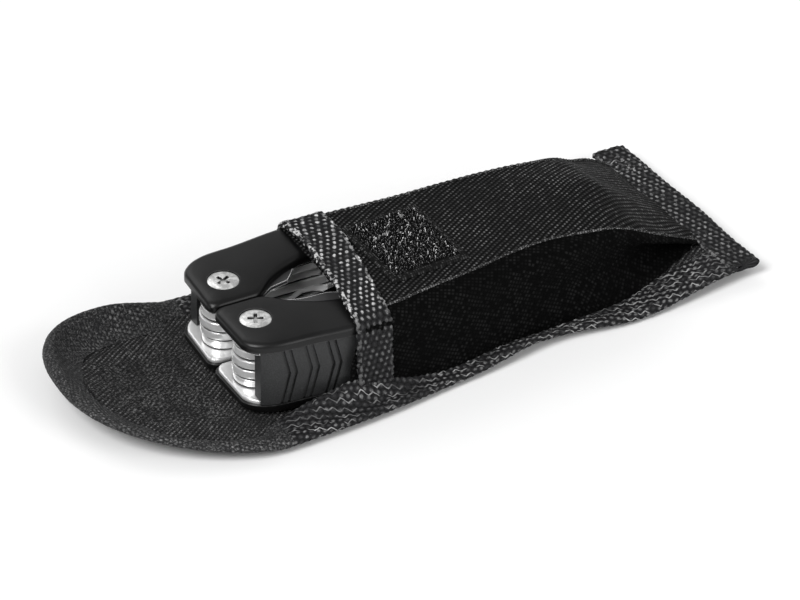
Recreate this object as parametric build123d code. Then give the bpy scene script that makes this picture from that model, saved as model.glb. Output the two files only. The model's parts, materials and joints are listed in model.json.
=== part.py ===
from build123d import *
from math import cos, radians, tan
import os

# A butterfly pocket tool (folding pliers with ten implements) lying in its open belt pouch.
#
# Units are millimetres. While the model is built, +X runs along the tool from its implement pivots
# towards the bottom of the pouch, +Y is the side of handle A, and z = 0 is the surface that the pouch
# lies on. Handle B is handle A turned half a turn about the tool's long axis, as on the real tool.
# At the end everything is moved so that the origin is under the middle of the whole object.

# ---------------------------------------------------------------- driving dimensions
# tool
TOOL_THICKNESS = 24.4
TOOL_BOTTOM = 3.4  # the tool lies on the pouch's lined back
PIVOT_Y = 10.5  # half the distance between the two screws of a pair
PIVOT_SPAN = 87.7  # implement pivot to head pivot, along a handle
PLATE_END = 9.0  # plates run this far past both pivots
SCALE_THICKNESS = 3.0
LINER_THICKNESS = 1.2
LAYERS = 5  # implements in one handle
JAW_PIVOT_X = 74.0
JAW_THICKNESS = 9.6
NOSE_LENGTH = 53.0

# screws
SCREW_HEAD_RADIUS = 4.7
SCREW_HEAD_HEIGHT = 1.4
BARREL_RADIUS = 2.4  # of the holes in scales and liners
SLEEVE_RADIUS = 2.38
SHANK_RADIUS = 1.5
RECESS_SPAN = 4.6
SEAT_GAP = 0.1  # radial, round a screw head in its seat
RUNNING_GAP = 0.05  # radial, between a barrel and what turns on it
FACE_GAP = 0.06  # between stacked faces that slide on each other
WASHER_RADIUS = 4.6

# pouch
POUCH_END = 149.0  # middle of the pouch's sewn bottom edge
END_SLANT = 8.6  # degrees that the bottom edge lies askew
STRIP_LENGTH = 10.0  # folded tape along the bottom edge
FLAP_TIP = -54.0
MOUTH_X = 26.5
BASE_HALF_FRONT = 41.5
BASE_HALF_REAR = 34.5
BINDING_WIDTH = 11.0
BINDING_THICKNESS = 3.2
PANEL_LOW, PANEL_HIGH = 1.3, 2.7
CLOTH = 1.2
SEAM_GAP = 0.1  # between sewn pieces that lie on or beside each other
DRIFT_START = 40.0
REAR_DRIFT = 11.0  # the empty end of the soft pouch lies this far off the tool's axis
TIP_DRIFT = 6.0
FLAP_FOLD_X = -11.0  # first fold line of the flap, just past the end of the tool
RISER_LENGTH = 29.5  # first to second fold line
FOLD_GAP = 0.4

# ---------------------------------------------------------------- worked-out places
TOOL_TOP = TOOL_BOTTOM + TOOL_THICKNESS
TOOL_MIDDLE = TOOL_BOTTOM + TOOL_THICKNESS / 2
INNER_LOW = TOOL_BOTTOM + SCALE_THICKNESS + LINER_THICKNESS
INNER_HIGH = TOOL_TOP - SCALE_THICKNESS - LINER_THICKNESS
LAYER_PITCH = (INNER_HIGH - INNER_LOW) / LAYERS
IMPLEMENT_PIVOT = (0.0, PIVOT_Y)
HEAD_PIVOT = (PIVOT_SPAN, PIVOT_Y)

parts = {}


# ---------------------------------------------------------------- helpers
def slab(face, low, high):
    """A flat outline made solid between two heights."""
    return extrude(Pos(0, 0, low) * face, amount=high - low, dir=(0, 0, 1))


def disc(x, y, radius, low, high):
    """An upright cylinder between two heights."""
    return Pos(x, y, (low + high) / 2) * Cylinder(radius, high - low)


def block(x_span, y_span, z_span):
    """A box given by its low and high coordinate along each axis."""
    middle = [(a + b) / 2 for a, b in (x_span, y_span, z_span)]
    return Pos(*middle) * Box(*(b - a for a, b in (x_span, y_span, z_span)))


def between(face, x_low, x_high, y_low=-90, y_high=90):
    """The part of a plan face inside a rectangle."""
    middle = Pos((x_low + x_high) / 2, (y_low + y_high) / 2)
    return face & middle * Rectangle(x_high - x_low, y_high - y_low)


def turned_over(shape):
    """Handle A's frame to handle B's: half a turn about the tool's long axis."""
    return Pos(0, 0, 2 * TOOL_MIDDLE) * Rot(180, 0, 0) * shape


# ---------------------------------------------------------------- handles
# plan curves of handle A, from its head pivot's end round to its implement end
OUTER_EDGE = [
    (87.7, 19.5), (74, 21.6), (60, 24.4), (45, 26.7), (32, 27.4), (20, 26.8), (8, 25.5), (-2.5, 24.2)
]
LINER_TAIL = [(56, 10.5), (68, 5.8), (87.7, 2.1)]
PLATE_INNER = [
    (5, 0.3), (8.4, 1.9), (11.8, 5), (16.5, 8.2), (25, 11.3), (38, 12.6), (56, 10), (68, 5.2), (87.7, 1.5)
]
LINER_PLAIN = [(5.5, 0.9), (9.4, 1.3), (14.6, 2.9), (19.4, 4.1), (26, 4.5), (34, 9.4), (42, 12), *LINER_TAIL]
LINER_STEPPED = [
    (5.5, 0.9), (9, 2.6), (12.6, 5), (18.4, 6.1), (21.2, 9.2), (23.4, 12.3), (38, 13.2), *LINER_TAIL
]
CORNER_Y = 18.4  # where the outer edge meets the straight implement end
HEEL_RADIUS = 3.1
PLATE_INSET = 0.7  # liners stay this far inside the scales' outline
GRIP_SPAN = (-4.4, 72.0)
GRIP_INSET = 0.5  # grip's outer face behind the plates' edge
LIP_DEPTH = 2.6  # the grip's lips reach this far in over the liners' edges
CORE_DEPTH = 1.9  # thickness of the grip's wall between the liners
FIT_GAP = 0.03  # between pieces that are clamped together
PLATE_BEVEL = [(0.0, 1.35), (0.28, 0.75), (0.85, 0.28), (1.9, 0.0)]  # inset and depth below the outer face
CHEVRONS = 3
CHEVRON_PITCH = 6.8
CHEVRON_LEAN = 2.6  # its point lies this far ahead of its ends
CHEVRON_WIDTH = 1.0
CHEVRON_SINK = 0.7
HOLLOW_X = 29.0
HOLLOW_RADIUS = 5.2


def handle_outline(inner_edge, inset, inner_inset=0.0, stepped=False):
    """Plan of one plate of handle A: rounded ends, a hollowed inner edge and a swelling outer edge."""
    outer = [(x, y - inset) for x, y in OUTER_EDGE]
    inner = [(x, y + inner_inset) for x, y in inner_edge]
    front = inset - PLATE_END
    corner = (front + 0.5, CORNER_Y - inset)
    toe_y = inner[0][1]
    heel = (front, toe_y + HEEL_RADIUS)
    toe = (front + HEEL_RADIUS, toe_y)
    if stepped:
        inside = Polyline(*inner)
    else:
        inside = Spline(*inner, tangents=((1, 0.1), (1, 0)))
    path = (
        inside
        + RadiusArc(inner[-1], outer[0], -(outer[0][1] - inner[-1][1]) / 2)
        + Spline(*outer, corner, tangents=((-1, 0.1), (-0.25, -1)))
        + Line(corner, heel)
        + RadiusArc(heel, toe, -HEEL_RADIUS)
        + Line(toe, inner[0])
    )
    return make_face(path)


def make_scale(low, outside_is_up):
    """Anodised outer plate with a wide soft bevel and two countersunk seats for the screw heads."""
    high = low + SCALE_THICKNESS
    skin, inward = (high, -1) if outside_is_up else (low, 1)
    steps = [
        Pos(0, 0, skin + inward * depth) * handle_outline(PLATE_INNER, inset, inset)
        for inset, depth in PLATE_BEVEL
    ]
    root = skin + inward * PLATE_BEVEL[0][1]
    body = (low, root) if outside_is_up else (root, high)
    plate = slab(handle_outline(PLATE_INNER, 0), *body) + loft(steps, ruled=True)
    seat_low = high - SCREW_HEAD_HEIGHT if outside_is_up else low
    seat_high = seat_low + SCREW_HEAD_HEIGHT
    for x, y in (IMPLEMENT_PIVOT, HEAD_PIVOT):
        plate -= disc(x, y, SCREW_HEAD_RADIUS + SEAT_GAP, seat_low - FIT_GAP, seat_high + FIT_GAP)
        plate -= disc(x, y, BARREL_RADIUS, low, high)
    return plate


def outer_band(inset_from, inset_to, x_span):
    """Plan of a strip that follows the outer edge between two insets."""
    end = (-8.5, CORNER_Y)
    near, far = (
        Spline(*[(x, y - inset) for x, y in [*OUTER_EDGE, end]]) for inset in (inset_from, inset_to)
    )
    strip = make_face(near + far + Line(near @ 0, far @ 0) + Line(near @ 1, far @ 1))
    return between(strip, *x_span)


def make_liner(low, inner_edge, stepped):
    """Polished steel liner between a scale and the implements, cut back to let the grip's lips in."""
    high = low + LINER_THICKNESS
    liner = slab(handle_outline(inner_edge, PLATE_INSET, 0, stepped), low, high)
    liner -= slab(outer_band(0, GRIP_INSET + LIP_DEPTH, GRIP_SPAN), low, high)
    for x, y in (IMPLEMENT_PIVOT, HEAD_PIVOT):
        liner -= disc(x, y, BARREL_RADIUS, low, high)
    return liner


def make_grip():
    """Moulded outer wall of a handle: lips over the liners, a core between them and sunk chevrons."""
    low, high = TOOL_BOTTOM + SCALE_THICKNESS + FIT_GAP, TOOL_TOP - SCALE_THICKNESS - FIT_GAP
    core_low, core_high = INNER_LOW + FIT_GAP, INNER_HIGH - FIT_GAP
    lip_inset = GRIP_INSET + LIP_DEPTH
    grip = slab(outer_band(GRIP_INSET, lip_inset - 2 * FIT_GAP, GRIP_SPAN), low, high)
    grip += slab(outer_band(lip_inset - CHEVRON_SINK, lip_inset - CHEVRON_SINK + CORE_DEPTH, GRIP_SPAN),
                 core_low, core_high)
    front_x = GRIP_SPAN[0]
    corner = [(front_x, 19.0), (5.5, 19.0), (8.5, 21.5), (9.5, 23), (-2.5, 21.8), (front_x, 20)]
    grip += slab(make_face(Polyline(*corner, close=True)), core_low, core_high)
    for i in range(CHEVRONS):
        for line in (0.0, 2.15):
            grip -= chevron(0.7 + i * CHEVRON_PITCH + line, low, high)
    return grip - Pos(HOLLOW_X, 26, low + 6.2) * Rot(90, 0, 0) * Cylinder(HOLLOW_RADIUS, 14)


def chevron(x, low, high):
    """One sunk V line, running up the outer face of the grip with its point towards the head."""
    apex_z = low + (high - low) * 0.47
    centre = [(x, high + 1), (x + CHEVRON_LEAN, apex_z), (x + 0.3, low - 1)]
    edge = centre + [(px + CHEVRON_WIDTH, pz) for px, pz in reversed(centre)]
    outline = make_face(Polyline(*edge, close=True))
    surface_y = 25.05 + 0.075 * (x + CHEVRON_LEAN) - GRIP_INSET
    floor_y = surface_y - CHEVRON_SINK
    return extrude(Plane.XZ.offset(-floor_y) * outline, amount=5, dir=(0, 1, 0))


def make_spring():
    """Leaf spring behind the implements, cut into one finger for each layer."""
    spring = block((9.8, 56), (19.25, 20.15), (INNER_LOW + 0.3, INNER_HIGH - 0.3))
    for i in range(1, LAYERS):
        z = INNER_LOW + i * LAYER_PITCH
        spring -= block((8, 40), (19, 21), (z - 0.2, z + 0.2))
    return spring


def cross_recess(x, y, top):
    """Two crossed slots sunk in a screw head."""
    slot = Box(RECESS_SPAN, 1.1, 1.6)
    return Pos(x, y, top) * Rot(0, 0, 25) * (slot + Rot(0, 0, 90) * slot)


def screw_head(x, y, low, high, top_is_up):
    """Low domed head with a softened rim."""
    head = disc(x, y, SCREW_HEAD_RADIUS, low, high)
    face = head.faces().sort_by(Axis.Z)[-1 if top_is_up else 0]
    head = chamfer(face.edges(), 0.35, 0.9)
    return head - cross_recess(x, y, high if top_is_up else low)


def make_screw(x, y):
    """Screw that comes down from the top scale into its barrel."""
    low = TOOL_TOP - SCREW_HEAD_HEIGHT
    shank = disc(x, y, SHANK_RADIUS, TOOL_BOTTOM + 6, low)
    return screw_head(x, y, low, TOOL_TOP, True) + shank


def make_barrel(x, y):
    """Barrel nut: its flange sits in the bottom scale and its sleeve carries everything that turns."""
    flange_top = TOOL_BOTTOM + SCREW_HEAD_HEIGHT
    sleeve_top = TOOL_TOP - SCREW_HEAD_HEIGHT - FIT_GAP
    sleeve = disc(x, y, SLEEVE_RADIUS, flange_top, sleeve_top)
    barrel = screw_head(x, y, TOOL_BOTTOM, flange_top, False) + sleeve
    return barrel - disc(x, y, SHANK_RADIUS + FIT_GAP, TOOL_BOTTOM + 5, TOOL_TOP)


def layer_span(layer, thickness):
    """Heights of an implement in its layer, counted from the bottom of handle A."""
    middle = INNER_LOW + (layer + 0.5) * LAYER_PITCH
    return middle - thickness / 2, middle + thickness / 2


def make_washers(thicknesses):
    """Thin washers that keep the implements apart on the barrel, each filling its own gap."""
    spans = [layer_span(i, t) for i, t in enumerate(thicknesses)]
    lows = [INNER_LOW] + [high + FACE_GAP for low, high in spans]
    highs = [low - FACE_GAP for low, high in spans] + [INNER_HIGH]
    washers = []
    for low, high in zip(lows, highs):
        ring = disc(*IMPLEMENT_PIVOT, WASHER_RADIUS, low, high)
        washers.append(ring - disc(*IMPLEMENT_PIVOT, BARREL_RADIUS, low, high))
    return Compound(children=washers)


# ---------------------------------------------------------------- implements, pivot at the origin, along +X
BACK, FRONT = 2.2, 8.4  # the stored blades lie this far to the outer side of the pivot
BLADE_MIDDLE = (BACK + FRONT) / 2
LONG, SHORT = 60.0, 43.0  # reach of a full-length blade and of a short one
HEEL = [(9, BACK), (4.6, -4.5), (0, -2)]  # back of the neck, round to the knuckle
SHOULDER = [(-1.5, 5.5), (3.2, 7.8)]  # front of the neck


def through(face, low, high):
    """A cutter with this plan that goes right through an implement."""
    return slab(face, low - 1, high + 1)


def knuckle(radius, points, low, high):
    """An implement: its round knuckle, bored for the barrel, joined to a flat blade."""
    blade = slab(make_face(Polyline(*points, close=True)), low, high)
    shape = blade + disc(0, 0, radius, low, high)
    return shape - disc(0, 0, SLEEVE_RADIUS + RUNNING_GAP, low, high)


def tang(length):
    """Plan of a plain blade blank with its neck."""
    return [*SHOULDER, (7, FRONT), (length, FRONT), (length, BACK), *HEEL]


def knife(low, high):
    """Clip-point blade with a ground edge and a nail nick."""
    point = [(44, FRONT), (49, 8.1), (53, 7.3), (57, 5.9), (LONG, 4.2), (56.5, 3.2), (52, 2.5), (46, BACK)]
    blade = knuckle(6.8, [*SHOULDER, (9, 7.8), (10.5, FRONT), *point, *HEEL], low, high)
    middle, grind_start, grind_depth, edge_half = (low + high) / 2, 11, 4.2, 0.12
    for face, side in ((low, -1), (high, 1)):
        beyond = face + side
        wedge = [
            (FRONT - grind_depth, face), (FRONT + 0.2, middle + side * edge_half),
            (FRONT + 0.2, beyond), (FRONT - grind_depth, beyond),
        ]
        outline = Plane.YZ.offset(grind_start) * make_face(Polyline(*wedge, close=True))
        blade -= extrude(outline, amount=LONG, dir=(1, 0, 0))
    return blade - Pos(30, 4.4, high + 0.35) * Rot(0, 90, 0) * Cylinder(0.9, 12)


def saw(low, high):
    """Wood saw with a row of raked teeth."""
    blade = knuckle(6.6, tang(LONG), low, high)
    for x in range(11, 58, 2):
        gullet = Polyline((x, FRONT + 0.1), (x + 1.1, FRONT - 1.5), (x + 1.9, FRONT + 0.1), close=True)
        blade -= through(make_face(gullet), low, high)
    return blade - through(make_face(Polyline((53, 1), (61, 1), (61, 5.2), close=True)), low, high)


def file(low, high):
    """Flat file with slanting cuts on its upper face."""
    blade = knuckle(6.9, tang(SHORT), low, high)
    cuts = [Pos(x, BLADE_MIDDLE, high) * Rot(0, 0, 25) * Box(0.5, 9, 0.5) for x in range(14, 41, 2)]
    return blade - cuts


def driver_points(front):
    """Plan of a driver: its front edge, the same edge mirrored along the back, and the neck."""
    back = [(x, 2 * BLADE_MIDDLE - y) for x, y in reversed(front)]
    return [*SHOULDER, (8, 7.8), *front, *back, *HEEL[1:]]


def flat_driver(length, width, radius):
    """Builder of a flat screwdriver: a bar that narrows to a chisel tip."""

    def build(low, high):
        side = BLADE_MIDDLE + width / 2
        front = [(14, side - 0.6), (length - 5, side - 0.6), (length - 3.5, side), (length, side)]
        blade = knuckle(radius, driver_points(front), low, high)
        for z, tilt in ((low, -6), (high, 6)):
            blade -= Pos(length, BLADE_MIDDLE, z) * Rot(0, tilt, 0) * Box(20, 12, 1.7)
        return blade

    return build


def cross_driver(low, high):
    """Cross-point screwdriver cut from flat bar."""
    front = [(13, 1.9), (30, 1.9), (33, 2.4), (36.5, 2.4), (40, 0.5)]
    blade = knuckle(6.4, driver_points([(x, BLADE_MIDDLE + y) for x, y in front]), low, high)
    for y in (BLADE_MIDDLE - 1.9, BLADE_MIDDLE + 1.9):
        for z in (low, high):
            blade -= Pos(37, y, z) * Box(9, 1.9, 1.5)
    return blade


def can_opener(low, high):
    """Hooked can opener with a sharpened claw."""
    claw = [(30, FRONT), (34, 6.4), (37, 2.8), (34.5, 2.2), (31, 4.6), (27.5, 4.9), (24.5, 3.4), (22, BACK)]
    return knuckle(6.8, [*SHOULDER, (7, FRONT), *claw, *HEEL], low, high)


def bottle_opener(low, high):
    """Bottle opener with a round bite and a driver tip."""
    bite = Pos(27, 3.0) * Circle(3.6) + Pos(29.7, 2.3) * Rectangle(5.4, 4.6)
    return knuckle(6.8, tang(38), low, high) - through(bite, low, high)


def awl(low, high):
    """Reamer that tapers to a point, with a sewing eye."""
    blade = knuckle(6.4, [*SHOULDER, (8, 7.8), (40, 5.6), (40, 5.0), (9, 2.6), *HEEL[1:]], low, high)
    return blade - through(Pos(30, BLADE_MIDDLE) * Circle(0.7), low, high)


# name, shape and thickness of each implement, from the bottom layer of handle A up, or of handle B down
IMPLEMENTS = {
    "a": [
        ("small_screwdriver", flat_driver(37, 4.4, 6.3), 2.5),
        ("can_opener", can_opener, 2.4),
        ("large_screwdriver", flat_driver(42, 6.2, 7.0), 2.6),
        ("cross_screwdriver", cross_driver, 2.6),
        ("knife_blade", knife, 2.2),
    ],
    "b": [
        ("medium_screwdriver", flat_driver(40, 5.4, 6.6), 2.5),
        ("awl", awl, 2.4),
        ("bottle_opener", bottle_opener, 2.5),
        ("file", file, 2.6),
        ("saw_blade", saw, 2.2),
    ],
}


def make_handle(side):
    """Every piece of one handle, made in handle A's frame."""
    pieces = {
        "outer_scale": make_scale(TOOL_TOP - SCALE_THICKNESS, True),
        "inner_scale": make_scale(TOOL_BOTTOM, False),
        "outer_liner": make_liner(INNER_HIGH, LINER_STEPPED, True),
        "inner_liner": make_liner(INNER_LOW - LINER_THICKNESS, LINER_PLAIN, False),
        "grip": make_grip(),
        "leaf_spring": make_spring(),
        "implement_screw": make_screw(*IMPLEMENT_PIVOT),
        "implement_barrel": make_barrel(*IMPLEMENT_PIVOT),
        "head_screw": make_screw(*HEAD_PIVOT),
        "head_barrel": make_barrel(*HEAD_PIVOT),
        "implement_washers": make_washers([thickness for name, build, thickness in IMPLEMENTS[side]]),
    }
    for layer, (name, build, thickness) in enumerate(IMPLEMENTS[side]):
        pieces[name] = Pos(*IMPLEMENT_PIVOT, 0) * build(*layer_span(layer, thickness))
    return pieces


# ---------------------------------------------------------------- pliers' head
BOSS_RADIUS = 8.4
HEAD_BOSS_RADIUS = 7.4
HEAD_LOW = TOOL_MIDDLE - JAW_THICKNESS / 2
HEAD_HIGH = TOOL_MIDDLE + JAW_THICKNESS / 2
NOSE_BEVEL, NOSE_BEVEL_DEPTH = 1.2, 1.3
NOSE_TIP_X = JAW_PIVOT_X - NOSE_LENGTH
TEETH, TOOTH_PITCH = 14, 1.3
BOLT_RADIUS = 2.5
BOLT_HEAD_RADIUS = 4.0
BOLT_HEAD_HEIGHT = 0.55


def nose_outline(inset):
    """Plan of the +Y jaw's nose, from the tip to the boss, with its mating face on the centre line."""
    tip_x = NOSE_TIP_X + inset
    shoulder = (tip_x + 1.6, 2.3 - inset * 0.6)
    root = (JAW_PIVOT_X - 4, 8.6 - inset)
    swell = [(JAW_PIVOT_X - reach, y - inset) for reach, y in ((39, 4.4), (23, 6.6), (11, 8.3))]
    path = (
        Spline(shoulder, *swell, root)
        + Line(root, (JAW_PIVOT_X, FACE_GAP))
        + Line((JAW_PIVOT_X, FACE_GAP), (tip_x, FACE_GAP))
        + Spline((tip_x, FACE_GAP), shoulder, tangents=((0, 1), (1, 0.25)))
    )
    return make_face(path)


def make_nose():
    """The +Y nose with bevelled edges, gripping teeth and the hollow for round stock."""
    low_root, high_root = HEAD_LOW + NOSE_BEVEL_DEPTH, HEAD_HIGH - NOSE_BEVEL_DEPTH
    nose = slab(nose_outline(0), low_root, high_root)
    for root, skin in ((low_root, HEAD_LOW), (high_root, HEAD_HIGH)):
        rim, face = Pos(0, 0, root) * nose_outline(0), Pos(0, 0, skin) * nose_outline(NOSE_BEVEL)
        nose += loft([rim, face], ruled=True)
    nose -= disc(JAW_PIVOT_X, 0, BOSS_RADIUS + 0.15, HEAD_LOW, HEAD_HIGH)
    for i in range(TEETH):
        x = NOSE_TIP_X + 3 + i * TOOTH_PITCH
        tooth = make_face(Polyline((x, -0.1), (x + 0.5, 0.6), (x + 1.0, -0.1), close=True))
        nose -= slab(tooth, HEAD_LOW, HEAD_HIGH)
    return nose - slab(Pos(JAW_PIVOT_X - 24, 0) * Ellipse(6.5, 2.6), HEAD_LOW, HEAD_HIGH)


def make_jaw(upper):
    """One half of the pliers: nose on one side, tang and handle boss on the other, lapped at the bolt.

    The upper half has its nose on +Y and its tang on -Y; the lower half is the other way round.
    """
    lap = (TOOL_MIDDLE + FACE_GAP, HEAD_HIGH) if upper else (HEAD_LOW, TOOL_MIDDLE - FACE_GAP)
    nose = make_nose()
    if not upper:
        nose = mirror(nose, about=Plane.XZ)
    side = -1 if upper else 1
    x = JAW_PIVOT_X
    reach = [
        (x - 8, -side * 2.5), (x - 6, -side * 5.8), (x + 3, -side * 7.8),
        (PIVOT_SPAN + 2, side * 4.6), (PIVOT_SPAN - 3, side * 15.5), (x - 1, side * 8.2),
    ]
    root = [
        (x - 12, -side * FACE_GAP), (x, -side * FACE_GAP), (x, -side * 7.9), (x - 12, -side * 7.9)
    ]
    jaw = nose + disc(x, 0, BOSS_RADIUS, *lap)
    for points in (reach, root):
        jaw += slab(make_face(Polyline(*points, close=True)), *lap)
    eye = (PIVOT_SPAN, side * PIVOT_Y)
    jaw += disc(*eye, HEAD_BOSS_RADIUS, INNER_LOW + FACE_GAP, INNER_HIGH - FACE_GAP)
    jaw -= disc(*eye, SLEEVE_RADIUS + RUNNING_GAP, INNER_LOW, INNER_HIGH)
    return jaw - disc(x, 0, BOLT_RADIUS + (RUNNING_GAP if upper else 0), HEAD_LOW, HEAD_HIGH)


def make_jaw_bolt():
    """Riveted bolt through both jaws, with low heads."""
    heads = (HEAD_LOW - BOLT_HEAD_HEIGHT, HEAD_HIGH + BOLT_HEAD_HEIGHT)
    bolt = disc(JAW_PIVOT_X, 0, BOLT_RADIUS - 0.01, *heads)
    bolt += disc(JAW_PIVOT_X, 0, BOLT_HEAD_RADIUS, heads[0], HEAD_LOW - FIT_GAP)
    return bolt + disc(JAW_PIVOT_X, 0, BOLT_HEAD_RADIUS, HEAD_HIGH + FIT_GAP, heads[1])


# ---------------------------------------------------------------- pouch
SLANT = tan(radians(END_SLANT))
END_MIDDLE_Y = 13.5  # the bottom edge turns about this point of itself
TIP_FOLD_X = FLAP_FOLD_X - RISER_LENGTH
MOUTH_TAPE = 12.4
HOOK_SIZE = (25.4, 31.0)
LOOP_LENGTH, LOOP_WIDTH = 66.0, 38.0
PATCH_TURN = 4.0  # degrees that the hook patch and the belt loop lie askew


def centre_y(x):
    """How far the pouch's middle line lies off the tool's axis at x."""
    rear = max(0.0, x - DRIFT_START) / (POUCH_END - DRIFT_START)
    front = max(0.0, FLAP_FOLD_X - x) / (FLAP_FOLD_X - FLAP_TIP)
    return REAR_DRIFT * rear**2 + TIP_DRIFT * front**1.5


def half_width(x, inset):
    """Half the width of the pouch's back at x, with the flap's rounded end."""
    rear = min(1.0, max(0.0, (x + 5) / 80))
    width = BASE_HALF_FRONT + (BASE_HALF_REAR - BASE_HALF_FRONT) * rear**2 * (3 - 2 * rear) - inset
    start, tip = 2.0, FLAP_TIP + inset
    if x < start:
        along = min(1.0, (start - x) / (start - tip))
        width *= (1 - along**2.6) ** (1 / 2.2)
    return width


def end_x(y, back):
    """Where the slanted bottom edge, or a line this far in from it, lies at y."""
    return POUCH_END - back - SLANT * (y - END_MIDDLE_Y)


def base_outline(inset, back):
    """Plan of the back and flap, drawn in from the edge by inset and stopping short of the end by back."""
    tip = FLAP_TIP + inset
    bend = [tip + (2 - tip) * (1 - cos(radians(a))) for a in (25, 45, 62, 77)]
    stations = [*bend, 3, MOUTH_X, 50, 75, 100, 125, POUCH_END + 12]
    far = [(x, centre_y(x) + half_width(x, inset)) for x in stations]
    near = [(x, centre_y(x) - half_width(x, inset)) for x in reversed(stations)]
    whole = make_face(Spline(*near, (tip, centre_y(tip)), *far) + Line(far[-1], near[0]))
    cut = [(end_x(-90, back), -90), (end_x(90, back), 90), (200, 90), (200, -90)]
    return whole - make_face(Polyline(*cut, close=True))


def make_base():
    """Back panel, flap and the binding tape round their edge, split at the two folds."""
    back = STRIP_LENGTH + SEAM_GAP
    tape = base_outline(0, back) - base_outline(BINDING_WIDTH, -50)
    panel = base_outline(BINDING_WIDTH + SEAM_GAP, back)
    gap = FOLD_GAP / 2
    spans = {
        "back": (FLAP_FOLD_X + gap, POUCH_END + 20),
        "flap_riser": (TIP_FOLD_X + gap, FLAP_FOLD_X - gap),
        "flap_tip": (FLAP_TIP - 5, TIP_FOLD_X - gap),
    }
    for name, span in spans.items():
        parts[f"{name}_panel"] = slab(between(panel, *span), PANEL_LOW, PANEL_HIGH)
        if name != "back":
            parts[f"{name}_binding"] = slab(between(tape, *span), 0, BINDING_THICKNESS)
    parts["far_edge_binding"] = slab(between(tape, *spans["back"], 5, 90), 0, BINDING_THICKNESS)
    parts["near_edge_binding"] = slab(between(tape, *spans["back"], -90, 5), 0, BINDING_THICKNESS)
    strip = base_outline(0, 0) - base_outline(-20, STRIP_LENGTH)
    parts["bottom_binding"] = slab(strip, 0, BINDING_THICKNESS)
    x_low, x_high = TIP_FOLD_X + 1.5, FLAP_FOLD_X - 1.5
    middle = (x_low + x_high) / 2
    patch = Pos(middle, centre_y(middle)) * RectangleRounded(x_high - x_low, 34, 2)
    patch &= base_outline(BINDING_WIDTH + 0.5, back)
    parts["loop_patch"] = slab(patch, PANEL_HIGH, BINDING_THICKNESS)


# x, height of the top, half width of the top, half width at the foot, how far the section is slanted
SHELL_STATIONS = [
    (MOUTH_X, 29.3, 27.2, 29.9, 0.0),
    (40, 29.3, 27.2, 29.9, 0.0),
    (60, 29.3, 26.4, 28.6, 0.0),
    (80, 29.3, 23.8, 25.8, 0.0),
    (99, 29.3, 21.8, 23.8, 0.0),
    (110, 24.5, 20.5, 23.2, 0.3),
    (119, 17.5, 20.8, 23.0, 0.6),
    (128, 10.5, 21.6, 23.0, 0.9),
    (138.2, 6.2, 22.0, 23.0, 1.0),
]
SHELL_FOOT = BINDING_THICKNESS + SEAM_GAP
SHOULDER_SHARE = 0.86  # the gussets run straight up to here before they lean in to the front panel


def shell_panel(profile):
    """A cloth panel lofted straight from station to station; profile gives its section as (y, z) points."""
    sections = []
    for x, top, top_half, foot_half, slanted in SHELL_STATIONS:
        middle = centre_y(x)
        points = [
            Vector(x - slanted * SLANT * y, middle + y, z) for y, z in profile(top, top_half, foot_half)
        ]
        sections.append(Face(Wire.make_polygon(points, close=True)))
    return loft(sections, ruled=True)


def top_profile(top, top_half, foot_half):
    """Section of the front panel."""
    low_half = top_half - CLOTH
    return [(-top_half, top), (top_half, top), (low_half, top - CLOTH), (-low_half, top - CLOTH)]


def gusset_profile(side):
    """Section of one side wall, from the front panel's edge down to the back."""

    def profile(top, top_half, foot_half):
        shoulder = SHELL_FOOT + (top - SHELL_FOOT) * SHOULDER_SHARE
        inside = foot_half - CLOTH
        outer = [(top_half, top), (foot_half, shoulder), (foot_half, SHELL_FOOT)]
        inner = [(inside, SHELL_FOOT), (inside, shoulder), (top_half - CLOTH, top - CLOTH)]
        return [(side * y, z) for y, z in outer + inner]

    return profile


def make_mouth_binding():
    """Tape folded over the mouth of the pouch, outside the front panel and both gussets."""
    x, top, top_half, foot_half, slanted = SHELL_STATIONS[0]
    shoulder = SHELL_FOOT + (top - SHELL_FOOT) * SHOULDER_SHARE
    skin = 0.05
    outer = [
        (foot_half + CLOTH, SHELL_FOOT), (foot_half + CLOTH, shoulder + 0.6), (top_half + 0.5, top + CLOTH)
    ]
    inner = [
        (top_half + skin, top + skin), (foot_half + skin, shoulder + skin), (foot_half + skin, SHELL_FOOT)
    ]
    right = outer + [(-y, z) for y, z in reversed(outer)]
    ring = right + [(-y, z) for y, z in reversed(inner)] + inner
    face = make_face(Polyline(*ring, close=True))
    return extrude(Plane.YZ.offset(x - 0.5) * face, amount=MOUTH_TAPE, dir=(1, 0, 0))


def make_pouch():
    """Everything sewn to the back of the pouch."""
    make_base()
    parts["front_panel"] = shell_panel(top_profile)
    parts["far_gusset"] = shell_panel(gusset_profile(1))
    parts["near_gusset"] = shell_panel(gusset_profile(-1))
    parts["mouth_binding"] = make_mouth_binding()
    top = SHELL_STATIONS[0][1]
    turn = Rot(0, 0, PATCH_TURN)
    hook = Pos(53.4, 0.8) * turn * RectangleRounded(*HOOK_SIZE, 1)
    parts["hook_patch"] = slab(hook, top + 0.04, top + 1.1)
    loop = Pos(78, centre_y(78)) * turn * RectangleRounded(LOOP_LENGTH, LOOP_WIDTH, 1.5)
    parts["belt_loop"] = slab(loop, 0, PANEL_LOW - SEAM_GAP)


# ---------------------------------------------------------------- assembly
def make_tool():
    """Both handles with their implements, and the pliers' head between them."""
    for side in ("a", "b"):
        implements = [name for name, build, thickness in IMPLEMENTS[side]]
        for name, piece in make_handle(side).items():
            label = name if name in implements else f"{name}_{side}"
            parts[label] = piece if side == "a" else turned_over(piece)
    parts["jaw_a"] = make_jaw(upper=False)
    parts["jaw_b"] = make_jaw(upper=True)
    parts["jaw_bolt"] = make_jaw_bolt()


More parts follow.
